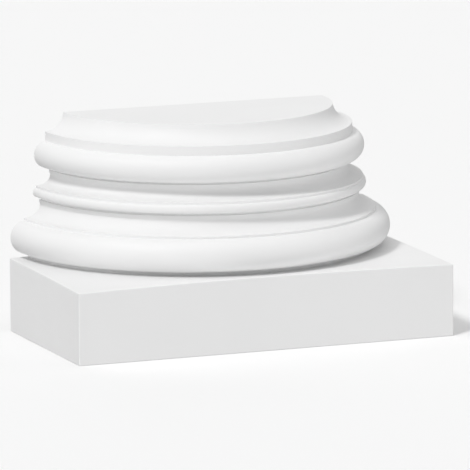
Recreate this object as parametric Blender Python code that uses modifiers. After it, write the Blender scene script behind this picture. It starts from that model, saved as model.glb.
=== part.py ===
"""Half column base: a turned classical base on a square plinth, cut flat through the column's axis."""

import math

import bmesh
import bpy

# All sizes are in metres. The column's axis stands upright in the flat back face.
# The front faces -Y, and the mouldings are named from the top down.

# Heights of the mouldings. A quirk is the narrow groove under a round moulding, and a listel is
# the narrow flat band below it
APOPHYGE_HEIGHT = 0.0157
UPPER_FILLET_HEIGHT = 0.0084
UPPER_TORUS_HEIGHT = 0.0227
UPPER_QUIRK_HEIGHT = 0.0023
UPPER_LISTEL_HEIGHT = 0.0029
UPPER_SCOTIA_WALL_HEIGHT = 0.0015
UPPER_SCOTIA_HEIGHT = 0.0084
BEAD_FILLET_HEIGHT = 0.0023
BEAD_HEIGHT = 0.0073
LOWER_QUIRK_HEIGHT = 0.0026
LOWER_LISTEL_HEIGHT = 0.0030
LOWER_SCOTIA_HEIGHT = 0.0123
LOWER_FILLET_HEIGHT = 0.0023
LOWER_TORUS_HEIGHT = 0.0281
PLINTH_NECK_HEIGHT = 0.0033
PLINTH_HEIGHT = 0.0641

# Radius of the seat for the half shaft
SHAFT_RADIUS = 0.1199

# How far each hollow sweeps out
APOPHYGE_STEP = 0.0168
UPPER_SCOTIA_STEP = 0.0134
LOWER_SCOTIA_STEP = 0.0149

# How far the listels and the plinth's neck are set in from the fillets above them
UPPER_LISTEL_SETBACK = 0.0034
LOWER_LISTEL_SETBACK = 0.0033
PLINTH_NECK_SETBACK = 0.0035

# How far the quirks and the heads of the scotias are cut in behind the listels
QUIRK_DEPTH = 0.0018
SCOTIA_SETBACK = 0.0007

# How far the round mouldings stand out from the fillets above them
UPPER_TORUS_REACH = 0.0103
BEAD_REACH = 0.0024
LOWER_TORUS_REACH = 0.0123

# Angle that the apophyge turns through
APOPHYGE_TURN = math.radians(82.0)

# The plinth stands this far outside the lower torus, which all but fills it
PLINTH_MARGIN = 0.0008

# Facets of the turned body: steps in a full turn, and the longest step round a moulding
TURN_STEPS = 96
MOULDING_STEP = math.radians(15.0)

# Solids that are joined or cut run this far into or past each other
OVERLAP = 0.010

# White primer
PRIMER_COLOUR = (0.88, 0.88, 0.88, 1.0)
PRIMER_ROUGHNESS = 0.55

NAME = "half_column_base"


def clear_scene():
    for old in list(bpy.data.objects):
        bpy.data.objects.remove(old, do_unlink=True)


def add_collection(name):
    collection = bpy.data.collections.new(name)
    bpy.context.scene.collection.children.link(collection)
    return collection


def add_ledge(points, step):
    """A level step out (+) or in (-)."""
    radius, level = points[-1]
    points.append((radius + step, level))


def add_band(points, height):
    radius, level = points[-1]
    points.append((radius, level - height))


def add_hollow(points, height, step, turn):
    """A hollow arc that falls from the face above and sweeps out to a lip."""
    radius, level = points[-1]
    chord = math.hypot(step, height)
    lean = math.atan2(height, step)
    arc_radius = chord / (2.0 * math.sin(turn / 2.0))
    rise = arc_radius * math.cos(turn / 2.0)
    centre_radius = radius + step / 2.0 + rise * math.sin(lean)
    centre_level = level - height / 2.0 + rise * math.cos(lean)
    first = 1.5 * math.pi - lean - turn / 2.0
    count = math.ceil(turn / MOULDING_STEP)
    for index in range(1, count + 1):
        angle = first + turn * index / count
        points.append((
            centre_radius + arc_radius * math.cos(angle),
            centre_level + arc_radius * math.sin(angle),
        ))


def add_scotia(points, height, step):
    """A quarter of an ellipse that falls upright from its head and sweeps out to a level lip."""
    radius, level = points[-1]
    count = math.ceil(math.pi / 2.0 / MOULDING_STEP)
    for index in range(1, count + 1):
        angle = math.pi / 2.0 * index / count
        points.append((
            radius + step * (1.0 - math.cos(angle)),
            level - height * math.sin(angle),
        ))


def add_roll(points, height, reach):
    """A half-round moulding that stands out from the face above and comes back to its line."""
    radius, level = points[-1]
    count = math.ceil(math.pi / MOULDING_STEP)
    for index in range(1, count + 1):
        angle = math.pi / 2.0 - math.pi * index / count
        points.append((
            radius + reach * math.cos(angle),
            level - height / 2.0 + height / 2.0 * math.sin(angle),
        ))


def add_quirk_and_listel(points, quirk_height, listel_height, setback):
    """The groove under a round moulding, the flat band below it, and the step in to a scotia."""
    add_ledge(points, -setback - QUIRK_DEPTH)
    add_band(points, quirk_height)
    add_ledge(points, QUIRK_DEPTH)
    add_band(points, listel_height)
    add_ledge(points, -SCOTIA_SETBACK)


def mouldings_height():
    return (
        APOPHYGE_HEIGHT + UPPER_FILLET_HEIGHT + UPPER_TORUS_HEIGHT
        + UPPER_QUIRK_HEIGHT + UPPER_LISTEL_HEIGHT
        + UPPER_SCOTIA_WALL_HEIGHT + UPPER_SCOTIA_HEIGHT + BEAD_FILLET_HEIGHT + BEAD_HEIGHT
        + LOWER_QUIRK_HEIGHT + LOWER_LISTEL_HEIGHT + LOWER_SCOTIA_HEIGHT
        + LOWER_FILLET_HEIGHT + LOWER_TORUS_HEIGHT + PLINTH_NECK_HEIGHT
    )


def turned_outline():
    """Outer side of the turned body from the shaft's seat down, as pairs of radius and height."""
    points = [(SHAFT_RADIUS, PLINTH_HEIGHT + mouldings_height())]
    add_hollow(points, APOPHYGE_HEIGHT, APOPHYGE_STEP, APOPHYGE_TURN)
    add_band(points, UPPER_FILLET_HEIGHT)
    add_roll(points, UPPER_TORUS_HEIGHT, UPPER_TORUS_REACH)
    add_quirk_and_listel(
        points, UPPER_QUIRK_HEIGHT, UPPER_LISTEL_HEIGHT, UPPER_LISTEL_SETBACK
    )
    add_band(points, UPPER_SCOTIA_WALL_HEIGHT)
    add_scotia(points, UPPER_SCOTIA_HEIGHT, UPPER_SCOTIA_STEP)
    add_band(points, BEAD_FILLET_HEIGHT)
    add_roll(points, BEAD_HEIGHT, BEAD_REACH)
    add_quirk_and_listel(
        points, LOWER_QUIRK_HEIGHT, LOWER_LISTEL_HEIGHT, LOWER_LISTEL_SETBACK
    )
    add_scotia(points, LOWER_SCOTIA_HEIGHT, LOWER_SCOTIA_STEP)
    add_band(points, LOWER_FILLET_HEIGHT)
    add_roll(points, LOWER_TORUS_HEIGHT, LOWER_TORUS_REACH)
    add_ledge(points, -PLINTH_NECK_SETBACK)
    add_band(points, PLINTH_NECK_HEIGHT + OVERLAP)
    return points


def add_turned_body(collection, outline):
    """The full round body: its outline, closed to the axis above and below, turned about the axis."""
    closed = [(0.0, outline[0][1])] + outline + [(0.0, outline[-1][1])]
    mesh = bpy.data.meshes.new("turned_body")
    mesh.from_pydata(
        [(radius, 0.0, level) for radius, level in closed],
        [(index, index + 1) for index in range(len(closed) - 1)],
        [],
    )
    body = bpy.data.objects.new("turned_body", mesh)
    collection.objects.link(body)
    screw = body.modifiers.new("Turn", "SCREW")
    screw.axis = "Z"
    screw.angle = 2.0 * math.pi
    screw.steps = TURN_STEPS
    screw.render_steps = TURN_STEPS
    screw.use_merge_vertices = True
    screw.merge_threshold = 0.00001
    # Half a step round, so that the flat back passes through the middle of two facets
    body.rotation_euler.z = math.pi / TURN_STEPS
    return body


def add_block(collection, name, low, high):
    mesh = bpy.data.meshes.new(name)
    block_mesh = bmesh.new()
    bmesh.ops.create_cube(block_mesh, size=1.0)
    for vertex in block_mesh.verts:
        for axis in range(3):
            vertex.co[axis] = high[axis] if vertex.co[axis] > 0.0 else low[axis]
    block_mesh.to_mesh(mesh)
    block_mesh.free()
    block = bpy.data.objects.new(name, mesh)
    collection.objects.link(block)
    return block


def as_cutter(solid):
    solid.hide_render = True
    solid.display_type = "WIRE"


def add_boolean(solid, other, operation):
    boolean = solid.modifiers.new(other.name, "BOOLEAN")
    boolean.operation = operation
    boolean.solver = "EXACT"
    boolean.object = other


def primer_material():
    material = bpy.data.materials.new("white_primer")
    material.use_nodes = True
    shader = material.node_tree.nodes["Principled BSDF"]
    shader.inputs["Base Color"].default_value = PRIMER_COLOUR
    shader.inputs["Roughness"].default_value = PRIMER_ROUGHNESS
    shader.inputs["Metallic"].default_value = 0.0
    return material


def build():
    clear_scene()
    parts = add_collection(NAME)
    cutters = add_collection("cutters")

    outline = turned_outline()
    half_width = max(radius for radius, level in outline) + PLINTH_MARGIN
    # The depth is half the width, and the base stands centred on the origin
    back = half_width / 2.0

    base = add_block(
        parts, NAME,
        (-half_width, back - half_width, 0.0),
        (half_width, back + half_width, PLINTH_HEIGHT),
    )
    turned = add_turned_body(cutters, outline)
    turned.location.y = back
    rear_half = add_block(
        cutters, "rear_half",
        (-half_width - OVERLAP, back, -OVERLAP),
        (half_width + OVERLAP, back + half_width + OVERLAP, outline[0][1] + OVERLAP),
    )
    as_cutter(turned)
    as_cutter(rear_half)
    add_boolean(base, turned, "UNION")
    add_boolean(base, rear_half, "DIFFERENCE")
    base.data.materials.append(primer_material())


build()
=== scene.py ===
"""Half column base: the white-primed moulding with rounded arrises, on a pale floor in soft light."""

import math

import bmesh
import bpy
from mathutils import Matrix, Vector


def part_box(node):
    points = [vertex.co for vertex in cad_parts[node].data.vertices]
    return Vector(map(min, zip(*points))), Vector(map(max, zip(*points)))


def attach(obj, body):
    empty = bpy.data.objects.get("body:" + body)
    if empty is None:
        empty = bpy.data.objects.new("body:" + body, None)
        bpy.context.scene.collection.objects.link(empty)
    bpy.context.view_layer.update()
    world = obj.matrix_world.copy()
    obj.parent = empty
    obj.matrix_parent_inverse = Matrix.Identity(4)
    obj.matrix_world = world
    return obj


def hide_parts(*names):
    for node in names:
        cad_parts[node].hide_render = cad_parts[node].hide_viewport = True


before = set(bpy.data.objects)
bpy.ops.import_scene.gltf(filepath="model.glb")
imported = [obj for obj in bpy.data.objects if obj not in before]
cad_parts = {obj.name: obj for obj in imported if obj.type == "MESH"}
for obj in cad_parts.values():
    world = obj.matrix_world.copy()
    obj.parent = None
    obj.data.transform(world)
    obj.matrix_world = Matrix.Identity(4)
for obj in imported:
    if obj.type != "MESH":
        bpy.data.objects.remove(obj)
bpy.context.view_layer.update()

NODE = "half_column_base"

# All sizes are in metres. The column's axis stands upright in the flat back face of the base.
# The front faces -Y, and the mouldings are named from the top down.
NODE_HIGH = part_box(NODE)[1]
BACK = NODE_HIGH.y
HALF_WIDTH = NODE_HIGH.x

# Heights of the mouldings. A quirk is the narrow groove under a round moulding, and a listel is
# the narrow flat band below it
APOPHYGE_HEIGHT = 0.0157
UPPER_FILLET_HEIGHT = 0.0084
UPPER_TORUS_HEIGHT = 0.0227
UPPER_QUIRK_HEIGHT = 0.0023
UPPER_LISTEL_HEIGHT = 0.0029
UPPER_SCOTIA_WALL_HEIGHT = 0.0015
UPPER_SCOTIA_HEIGHT = 0.0084
BEAD_FILLET_HEIGHT = 0.0023
BEAD_HEIGHT = 0.0073
LOWER_QUIRK_HEIGHT = 0.0026
LOWER_LISTEL_HEIGHT = 0.0030
LOWER_SCOTIA_HEIGHT = 0.0123
LOWER_FILLET_HEIGHT = 0.0023
LOWER_TORUS_HEIGHT = 0.0281
PLINTH_NECK_HEIGHT = 0.0033
PLINTH_HEIGHT = 0.0641

# Radius of the seat for the half shaft
SHAFT_RADIUS = 0.1199

# How far each hollow sweeps out, and the angle that the apophyge turns through
APOPHYGE_STEP = 0.0168
UPPER_SCOTIA_STEP = 0.0134
LOWER_SCOTIA_STEP = 0.0149
APOPHYGE_TURN = math.radians(82.0)

# How far the listels and the plinth's neck are set in from the fillets above them
UPPER_LISTEL_SETBACK = 0.0034
LOWER_LISTEL_SETBACK = 0.0033
PLINTH_NECK_SETBACK = 0.0035

# How far the quirks and the heads of the scotias are cut in behind the listels
QUIRK_DEPTH = 0.0018
SCOTIA_SETBACK = 0.0007

# How far the round mouldings stand out from the fillets above them
UPPER_TORUS_REACH = 0.0103
BEAD_REACH = 0.0024
LOWER_TORUS_REACH = 0.0123

# Fineness of the turned body: steps in the half turn, and the longest step round a moulding
HALF_TURN_STEPS = 192
MOULDING_STEP = math.radians(6.0)

# Rounding of the corners that the mould leaves. A corner that bends by less than the sharp corner
# stays as it is, and a rounding takes no more than its share of the sides that it eats into
SHARP_CORNER = math.radians(25.0)
MOULDING_ARRIS = 0.0004
MOULDING_ARRIS_STEPS = 3
ARRIS_SIDE_SHARE = 0.45
PLINTH_ARRIS = 0.0009
PLINTH_ARRIS_STEPS = 4
ROUND_PROFILE = 0.5

# Faces that meet at more than this angle are shaded with a hard edge between them
SHADING_CORNER = math.radians(35.0)

# The free corners of the plinth's top sit this much low, as the casting shrank there. The top
# is a grid of cells, so that it can fall away smoothly, a little more slowly at first
LEFT_CORNER_SINK = 0.0028
RIGHT_CORNER_SINK = 0.0021
CORNER_SINK_POWER = 1.1
PLINTH_CELLS = 34

# Solids that are joined run this far into each other
OVERLAP = 0.010

# Points this close to each other are one point, and points this close to the cut lie on it
MERGE_DISTANCE = 0.00001
CUT_TOLERANCE = 0.000001

# White primer: slow, faint changes of tone and sheen, and the fine orange peel of a sprayed coat
PRIMER_SPECULAR = 0.4
CLOUD_SCALE = 14.0
CLOUD_DETAIL = 3.0
CLOUD_LOW = 0.3
CLOUD_HIGH = 0.7
DEEPER_WHITE = (0.872, 0.872, 0.872, 1.0)
PALER_WHITE = (0.888, 0.888, 0.888, 1.0)
LEAST_ROUGHNESS = 0.50
MOST_ROUGHNESS = 0.60
PEEL_SCALE = 650.0
PEEL_DETAIL = 2.0
PEEL_STRENGTH = 0.25
PEEL_DEPTH = 0.00006

# Floor, a wide pale board well past every view
FLOOR_HALF_SIZE = 8.0
FLOOR_TONE = (0.96, 0.96, 0.96, 1.0)
FLOOR_ROUGHNESS = 0.9
FLOOR_SPECULAR = 0.2

# Camera, from the front left and a little above, as in the photograph. Its sensor and focal
# length are in millimetres
CAMERA_TARGET = Vector((0.0038, 0.0, 0.0853))
CAMERA_AZIMUTH = math.radians(21.68)
CAMERA_ELEVATION = math.radians(9.90)
CAMERA_ROLL = math.radians(-0.32)
CAMERA_DISTANCE = 5.120
SENSOR_WIDTH = 36.0
FOCAL_LENGTH = 459.6
CLIP_START = 0.1
CLIP_END = 100.0

# Soft studio light: an even pale surround and distant soft boxes. The three from below stand for
# the light that the table throws back up, in place of the floor's own.
# Each has a name, its azimuth (0 in front, + to the right), elevation, angle across, and strength
WORLD_COLOUR = (1.0, 1.0, 1.0, 1.0)
WORLD_STRENGTH = 0.30
SOFT_BOXES = (
    ("key", -58.0, 52.0, 12.0, 1.45),
    ("overhead", 0.0, 88.0, 60.0, 0.54),
    ("left_level", -100.0, 8.0, 36.0, 0.72),
    ("right_level", 50.0, 0.0, 30.0, 0.31),
    ("right_fill", 80.0, 30.0, 36.0, 0.26),
    ("right_high", 80.0, 54.0, 36.0, 0.08),
    ("back_right", 160.0, 30.0, 36.0, 0.25),
    ("back_low", 180.0, -8.0, 6.0, 0.60),
    ("front_below", 0.0, -20.0, 60.0, 0.64),
    ("deep_below", 0.0, -50.0, 60.0, 0.52),
)


def add_ledge(points, step):
    """A level step out (+) or in (-)."""
    radius, level = points[-1]
    points.append((radius + step, level))


def add_band(points, height):
    """An upright face that falls from the last point."""
    radius, level = points[-1]
    points.append((radius, level - height))


def add_hollow(points, height, step, turn):
    """A hollow arc that falls from the face above and sweeps out to a lip."""
    radius, level = points[-1]
    chord = math.hypot(step, height)
    lean = math.atan2(height, step)
    arc_radius = chord / (2.0 * math.sin(turn / 2.0))
    rise = arc_radius * math.cos(turn / 2.0)
    centre_radius = radius + step / 2.0 + rise * math.sin(lean)
    centre_level = level - height / 2.0 + rise * math.cos(lean)
    first = 1.5 * math.pi - lean - turn / 2.0
    count = math.ceil(turn / MOULDING_STEP)
    for index in range(1, count + 1):
        angle = first + turn * index / count
        points.append((
            centre_radius + arc_radius * math.cos(angle),
            centre_level + arc_radius * math.sin(angle),
        ))


def add_scotia(points, height, step):
    """A quarter of an ellipse that falls upright from its head and sweeps out to a level lip."""
    radius, level = points[-1]
    count = math.ceil(math.pi / 2.0 / MOULDING_STEP)
    for index in range(1, count + 1):
        angle = math.pi / 2.0 * index / count
        points.append((
            radius + step * (1.0 - math.cos(angle)),
            level - height * math.sin(angle),
        ))


def add_roll(points, height, reach):
    """A half-round moulding that stands out from the face above and comes back to its line."""
    radius, level = points[-1]
    count = math.ceil(math.pi / MOULDING_STEP)
    for index in range(1, count + 1):
        angle = math.pi / 2.0 - math.pi * index / count
        points.append((
            radius + reach * math.cos(angle),
            level - height / 2.0 + height / 2.0 * math.sin(angle),
        ))


def add_quirk_and_listel(points, quirk_height, listel_height, setback):
    """The groove under a round moulding, the flat band below it, and the step in to a scotia."""
    add_ledge(points, -setback - QUIRK_DEPTH)
    add_band(points, quirk_height)
    add_ledge(points, QUIRK_DEPTH)
    add_band(points, listel_height)
    add_ledge(points, -SCOTIA_SETBACK)


def turned_outline():
    """Outer side of the turned body from the shaft's seat down, as pairs of radius and height."""
    points = [(SHAFT_RADIUS, NODE_HIGH.z)]
    add_hollow(points, APOPHYGE_HEIGHT, APOPHYGE_STEP, APOPHYGE_TURN)
    add_band(points, UPPER_FILLET_HEIGHT)
    add_roll(points, UPPER_TORUS_HEIGHT, UPPER_TORUS_REACH)
    add_quirk_and_listel(
        points, UPPER_QUIRK_HEIGHT, UPPER_LISTEL_HEIGHT, UPPER_LISTEL_SETBACK
    )
    add_band(points, UPPER_SCOTIA_WALL_HEIGHT)
    add_scotia(points, UPPER_SCOTIA_HEIGHT, UPPER_SCOTIA_STEP)
    add_band(points, BEAD_FILLET_HEIGHT)
    add_roll(points, BEAD_HEIGHT, BEAD_REACH)
    add_quirk_and_listel(
        points, LOWER_QUIRK_HEIGHT, LOWER_LISTEL_HEIGHT, LOWER_LISTEL_SETBACK
    )
    add_scotia(points, LOWER_SCOTIA_HEIGHT, LOWER_SCOTIA_STEP)
    add_band(points, LOWER_FILLET_HEIGHT)
    add_roll(points, LOWER_TORUS_HEIGHT, LOWER_TORUS_REACH)
    add_ledge(points, -PLINTH_NECK_SETBACK)
    add_band(points, PLINTH_NECK_HEIGHT + OVERLAP)
    return points


def rounded(points):
    """The outline with each sharp corner turned into a small curve, as far as its sides allow."""
    smooth = [points[0]]
    for before, corner, after in zip(points, points[1:], points[2:]):
        corner = Vector(corner)
        inward = Vector(before) - corner
        onward = Vector(after) - corner
        bend = math.pi - inward.angle(onward)
        if bend < SHARP_CORNER:
            smooth.append(tuple(corner))
            continue
        trim = MOULDING_ARRIS * math.tan(bend / 2.0)
        trim = min(trim, ARRIS_SIDE_SHARE * inward.length, ARRIS_SIDE_SHARE * onward.length)
        start = corner + inward.normalized() * trim
        end = corner + onward.normalized() * trim
        for index in range(MOULDING_ARRIS_STEPS + 1):
            share = index / MOULDING_ARRIS_STEPS
            smooth.append(tuple(start.lerp(corner, share).lerp(corner.lerp(end, share), share)))
    smooth.append(points[-1])
    return smooth


def add_turned_body():
    """The full round body: its outline, closed to the axis above and below, turned about it."""
    outline = [(0.0, NODE_HIGH.z)] + turned_outline()
    outline = rounded(outline + [(0.0, outline[-1][1])])
    mesh = bpy.data.meshes.new("turned_body")
    mesh.from_pydata(
        [(radius, 0.0, level) for radius, level in outline],
        [(index, index + 1) for index in range(len(outline) - 1)],
        [],
    )
    body = bpy.data.objects.new("turned_body", mesh)
    bpy.context.scene.collection.objects.link(body)
    screw = body.modifiers.new("Turn", "SCREW")
    screw.axis = "Z"
    screw.angle = 2.0 * math.pi
    screw.steps = 2 * HALF_TURN_STEPS
    screw.render_steps = screw.steps
    screw.use_merge_vertices = True
    screw.merge_threshold = MERGE_DISTANCE
    # Half a step round, so that the flat back passes through the middle of two facets
    body.rotation_euler.z = math.pi / (2 * HALF_TURN_STEPS)
    body.location.y = BACK
    return body


def add_plinth_block():
    """The full square block under the round body, with its arrises eased."""
    mesh = bpy.data.meshes.new("plinth_block")
    block_mesh = bmesh.new()
    bmesh.ops.create_grid(
        block_mesh, x_segments=PLINTH_CELLS, y_segments=PLINTH_CELLS, size=HALF_WIDTH
    )
    bmesh.ops.translate(block_mesh, vec=(0.0, BACK, PLINTH_HEIGHT), verts=block_mesh.verts)
    underside = bmesh.ops.extrude_face_region(block_mesh, geom=block_mesh.faces[:])["geom"]
    bmesh.ops.translate(
        block_mesh, vec=(0.0, 0.0, -PLINTH_HEIGHT),
        verts=[item for item in underside if isinstance(item, bmesh.types.BMVert)],
    )
    bmesh.ops.recalc_face_normals(block_mesh, faces=block_mesh.faces)
    arrises = [edge for edge in block_mesh.edges if edge.calc_face_angle() > SHARP_CORNER]
    bmesh.ops.bevel(
        block_mesh, geom=arrises, affect="EDGES",
        offset=PLINTH_ARRIS, segments=PLINTH_ARRIS_STEPS, profile=ROUND_PROFILE,
    )
    block_mesh.to_mesh(mesh)
    block_mesh.free()
    block = bpy.data.objects.new("plinth_block", mesh)
    bpy.context.scene.collection.objects.link(block)
    return block


def cut_back(mesh):
    """Cuts the mesh flat through the column's axis, keeps the front half and closes its back."""
    half = bmesh.new()
    half.from_mesh(mesh)
    cut = bmesh.ops.bisect_plane(
        half, geom=half.verts[:] + half.edges[:] + half.faces[:], dist=CUT_TOLERANCE,
        plane_co=(0.0, BACK, 0.0), plane_no=(0.0, 1.0, 0.0), clear_outer=True,
    )
    rim = [item for item in cut["geom_cut"] if isinstance(item, bmesh.types.BMEdge)]
    bmesh.ops.edgeloop_fill(half, edges=rim)
    half.to_mesh(mesh)
    half.free()


def sink_corners(mesh):
    """Lets the plinth's top fall away towards the corners, more the further it is from the neck."""
    neck_radius = turned_outline()[-1][0]
    corner_reach = math.hypot(HALF_WIDTH, HALF_WIDTH) - neck_radius
    for vertex in mesh.vertices:
        reach = math.hypot(vertex.co.x, vertex.co.y - BACK) - neck_radius
        if reach > 0.0 and vertex.co.z < PLINTH_HEIGHT + MERGE_DISTANCE:
            across = 0.5 + 0.5 * vertex.co.x / HALF_WIDTH
            corner_sink = LEFT_CORNER_SINK * (1.0 - across) + RIGHT_CORNER_SINK * across
            drop = corner_sink * (reach / corner_reach) ** CORNER_SINK_POWER
            vertex.co.z -= drop * vertex.co.z / PLINTH_HEIGHT


def make_base():
    """The whole casting as one mesh: the turned body and the plinth joined, cut and sunk."""
    turned = add_turned_body()
    block = add_plinth_block()
    union = block.modifiers.new("Union", "BOOLEAN")
    union.operation = "UNION"
    union.solver = "EXACT"
    union.object = turned
    bpy.context.view_layer.update()
    depsgraph = bpy.context.evaluated_depsgraph_get()
    mesh = bpy.data.meshes.new_from_object(block.evaluated_get(depsgraph))
    bpy.data.objects.remove(block)
    bpy.data.objects.remove(turned)
    cut_back(mesh)
    sink_corners(mesh)
    mesh.name = "column_base"
    mesh.shade_smooth()
    mesh.set_sharp_from_angle(angle=SHADING_CORNER)
    base = bpy.data.objects.new("column_base", mesh)
    bpy.context.scene.collection.objects.link(base)
    weighted = base.modifiers.new("Weighted normals", "WEIGHTED_NORMAL")
    weighted.keep_sharp = True
    return base


def primer_material():
    """Satin-matt white primer: almost even, with a fine orange peel that shows only in the sheen."""
    material = bpy.data.materials.new("white_primer_finish")
    material.use_nodes = True
    nodes = material.node_tree.nodes
    links = material.node_tree.links
    shader = nodes["Principled BSDF"]
    shader.inputs["Metallic"].default_value = 0.0
    shader.inputs["Specular IOR Level"].default_value = PRIMER_SPECULAR

    place = nodes.new("ShaderNodeTexCoord")

    # Faint change of tone over hand widths, from the thickness of the primer
    cloud = nodes.new("ShaderNodeTexNoise")
    cloud.inputs["Scale"].default_value = CLOUD_SCALE
    cloud.inputs["Detail"].default_value = CLOUD_DETAIL
    links.new(place.outputs["Object"], cloud.inputs["Vector"])
    tone = nodes.new("ShaderNodeValToRGB")
    tone.color_ramp.elements[0].position = CLOUD_LOW
    tone.color_ramp.elements[0].color = DEEPER_WHITE
    tone.color_ramp.elements[1].position = CLOUD_HIGH
    tone.color_ramp.elements[1].color = PALER_WHITE
    links.new(cloud.outputs["Fac"], tone.inputs["Fac"])
    links.new(tone.outputs["Color"], shader.inputs["Base Color"])

    # Sheen that varies a little from place to place
    sheen = nodes.new("ShaderNodeMapRange")
    sheen.inputs["To Min"].default_value = LEAST_ROUGHNESS
    sheen.inputs["To Max"].default_value = MOST_ROUGHNESS
    links.new(cloud.outputs["Fac"], sheen.inputs["Value"])
    links.new(sheen.outputs["Result"], shader.inputs["Roughness"])

    # Orange peel, its dimples about a millimetre and a half across
    peel = nodes.new("ShaderNodeTexNoise")
    peel.inputs["Scale"].default_value = PEEL_SCALE
    peel.inputs["Detail"].default_value = PEEL_DETAIL
    links.new(place.outputs["Object"], peel.inputs["Vector"])
    bump = nodes.new("ShaderNodeBump")
    bump.inputs["Strength"].default_value = PEEL_STRENGTH
    bump.inputs["Distance"].default_value = PEEL_DEPTH
    links.new(peel.outputs["Fac"], bump.inputs["Height"])
    links.new(bump.outputs["Normal"], shader.inputs["Normal"])
    return material


def floor_material():
    """Matt white board."""
    material = bpy.data.materials.new("floor_board")
    material.use_nodes = True
    shader = material.node_tree.nodes["Principled BSDF"]
    shader.inputs["Base Color"].default_value = FLOOR_TONE
    shader.inputs["Roughness"].default_value = FLOOR_ROUGHNESS
    shader.inputs["Specular IOR Level"].default_value = FLOOR_SPECULAR
    return material


def make_floor():
    """The floor takes shadows, but throws no light on the base and lets light from below through."""
    mesh = bpy.data.meshes.new("floor")
    floor_mesh = bmesh.new()
    bmesh.ops.create_grid(floor_mesh, x_segments=1, y_segments=1, size=FLOOR_HALF_SIZE)
    floor_mesh.to_mesh(mesh)
    floor_mesh.free()
    mesh.materials.append(floor_material())
    floor = bpy.data.objects.new("floor", mesh)
    bpy.context.scene.collection.objects.link(floor)
    floor.visible_diffuse = False
    floor.visible_glossy = False
    floor.visible_shadow = False
    return floor


def make_camera():
    """A long lens that looks at the target, with a slight roll."""
    forward = Vector((
        math.sin(CAMERA_AZIMUTH) * math.cos(CAMERA_ELEVATION),
        math.cos(CAMERA_AZIMUTH) * math.cos(CAMERA_ELEVATION),
        -math.sin(CAMERA_ELEVATION),
    ))
    level_right = Vector((math.cos(CAMERA_AZIMUTH), -math.sin(CAMERA_AZIMUTH), 0.0))
    level_up = level_right.cross(forward)
    right = math.cos(CAMERA_ROLL) * level_right + math.sin(CAMERA_ROLL) * level_up
    up = math.cos(CAMERA_ROLL) * level_up - math.sin(CAMERA_ROLL) * level_right
    place = CAMERA_TARGET - forward * CAMERA_DISTANCE
    data = bpy.data.cameras.new("camera")
    data.sensor_width = SENSOR_WIDTH
    data.lens = FOCAL_LENGTH
    data.clip_start = CLIP_START
    data.clip_end = CLIP_END
    camera = bpy.data.objects.new("camera", data)
    bpy.context.scene.collection.objects.link(camera)
    rows = zip(right, up, -forward, place)
    camera.matrix_world = Matrix([list(row) for row in rows] + [[0.0, 0.0, 0.0, 1.0]])
    return camera


def add_soft_box(name, azimuth, elevation, across, strength):
    """A light as if from far away, spread over an angle. All three angles are in degrees."""
    data = bpy.data.lights.new(name, "SUN")
    data.energy = strength
    data.angle = math.radians(across)
    light = bpy.data.objects.new(name, data)
    bpy.context.scene.collection.objects.link(light)
    azimuth = math.radians(azimuth)
    elevation = math.radians(elevation)
    source = Vector((
        math.sin(azimuth) * math.cos(elevation),
        -math.cos(azimuth) * math.cos(elevation),
        math.sin(elevation),
    ))
    light.rotation_euler = source.to_track_quat("Z", "Y").to_euler()


def light_scene():
    world = bpy.data.worlds.new("studio")
    world.use_nodes = True
    surround = world.node_tree.nodes["Background"]
    surround.inputs["Color"].default_value = WORLD_COLOUR
    surround.inputs["Strength"].default_value = WORLD_STRENGTH
    bpy.context.scene.world = world
    for soft_box in SOFT_BOXES:
        add_soft_box(*soft_box)
    bpy.context.scene.view_settings.view_transform = "Standard"


base = make_base()
base.data.materials.append(primer_material())
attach(base, "root")
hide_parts(NODE)

make_floor()
bpy.context.scene.camera = make_camera()
light_scene()
